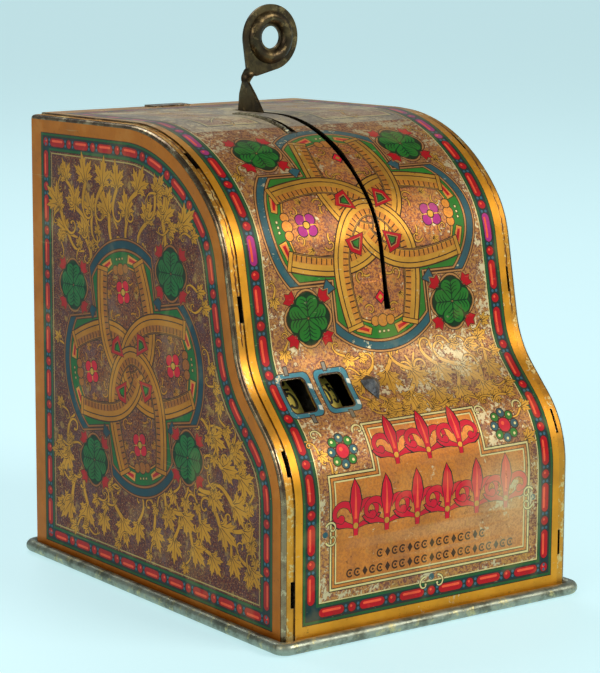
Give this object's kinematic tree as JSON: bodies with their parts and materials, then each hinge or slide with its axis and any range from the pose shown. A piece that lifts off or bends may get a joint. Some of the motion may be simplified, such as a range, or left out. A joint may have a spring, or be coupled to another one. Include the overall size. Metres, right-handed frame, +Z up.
{
  "type": "tin register money box",
  "caption": "Tin register bank with a curved lithographed front, a pull lever in a long slot, number drums behind windows, a coin chute and a rear cash door.",
  "frame": {"origin": "on the table under the middle of the base", "axes": "+X across the front to the right, +Y from the front to the back, +Z up"},
  "size_m": [0.1208, 0.1524, 0.186],
  "materials": {
    "printed_tin": "amber lithographed tinplate, varnished and worn",
    "bare_tin": "dull aged tinplate",
    "lever_bronze": "brown bronzed steel, rubbed",
    "mechanism_steel": "oiled steel",
    "brass_parts": "dull brass",
    "number_paper": "yellowed printed paper"
  },
  "bodies": {
    "case": {"base_plate": "bare_tin", "left_side_panel": "printed_tin", "right_side_panel": "printed_tin", "front_top_sheet": "printed_tin", "back_panel": "printed_tin", "coin_slot_lip": "bare_tin", "front_hood": "bare_tin", "hinge_fixed_leaf": "mechanism_steel", "door_hinge_pin": "mechanism_steel", "lock_bolt_guides": "mechanism_steel", "left_mechanism_plate": "mechanism_steel", "right_mechanism_plate": "mechanism_steel", "lever_support_plate": "mechanism_steel", "frame_spacers": "mechanism_steel", "frame_rivets": "mechanism_steel", "drum_axle": "mechanism_steel", "axle_collars": "brass_parts", "holding_pawl_rod": "mechanism_steel", "holding_pawl_spring": "mechanism_steel", "coin_chute": "bare_tin", "chute_bracket": "bare_tin", "gate_pin": "mechanism_steel", "coin_ramp": "bare_tin"},
    "lever": {"lever_arm": "lever_bronze", "lever_shaft": "mechanism_steel", "lever_collars": "mechanism_steel", "lever_return_spring": "mechanism_steel", "feed_arm": "mechanism_steel", "feed_pawl_pin": "mechanism_steel"},
    "feed_pawl": {"feed_pawl": "mechanism_steel"},
    "holding_pawl": {"holding_pawl": "mechanism_steel"},
    "cents_drum": {"cents_drum": "bare_tin", "cents_number_band": "number_paper", "cents_ratchet_wheel": "brass_parts"},
    "dollars_drum": {"dollars_drum": "bare_tin", "dollars_number_band": "number_paper", "dollars_ratchet_wheel": "brass_parts"},
    "coin_gate": {"coin_gate": "bare_tin"},
    "cash_door": {"cash_door": "printed_tin", "door_pull": "brass_parts", "hinge_door_leaf": "mechanism_steel", "door_keeper": "mechanism_steel"},
    "lock_bolt": {"lock_bolt": "mechanism_steel"}
  },
  "joints": [
    {"name": "lever_swing", "type": "hinge", "parent": "case", "child": "lever", "pos_m": [0.0023, 0.024, 0.072], "axis": [1, 0, 0], "range_deg": [0, 68], "stiffness_Nm_per_rad": 0.03, "springref_deg": -28.65},
    {"name": "feed_pawl_pivot", "type": "hinge", "parent": "lever", "child": "feed_pawl", "pos_m": [-0.0315, 0.0335, 0.08845], "axis": [1, 0, 0], "range_deg": [-70, 5]},
    {"name": "holding_pawl_pivot", "type": "hinge", "parent": "case", "child": "holding_pawl", "pos_m": [-0.03, -0.00673, 0.02444], "axis": [1, 0, 0], "range_deg": [0, 6], "stiffness_Nm_per_rad": 0.002, "springref_deg": -2.86},
    {"name": "cents_drum_spin", "type": "hinge", "parent": "case", "child": "cents_drum", "pos_m": [-0.0245, -0.02921, 0.04818], "axis": [1, 0, 0], "continuous": true},
    {"name": "dollars_drum_spin", "type": "hinge", "parent": "case", "child": "dollars_drum", "pos_m": [-0.0389, -0.02921, 0.04818], "axis": [1, 0, 0], "continuous": true},
    {"name": "coin_gate_swing", "type": "hinge", "parent": "case", "child": "coin_gate", "pos_m": [-0.007, 0.0206, 0.096], "axis": [1, 0, 0], "range_deg": [0, 55], "stiffness_Nm_per_rad": 0.002, "springref_deg": -17.19},
    {"name": "cash_door_hinge", "type": "hinge", "parent": "case", "child": "cash_door", "pos_m": [0, 0.0739, 0.008], "axis": [1, 0, 0], "range_deg": [-90, 0]},
    {"name": "lock_bolt_slide", "type": "slide", "parent": "case", "child": "lock_bolt", "axis": [-1, 0, 0], "range_m": [0, 0.006]}
  ],
  "couplings": [
    {"joint": "feed_pawl_pivot", "follows": "lever_swing", "ratio": -1},
    {"joint": "dollars_drum_spin", "follows": "cents_drum_spin", "ratio": 0.05}
  ]
}
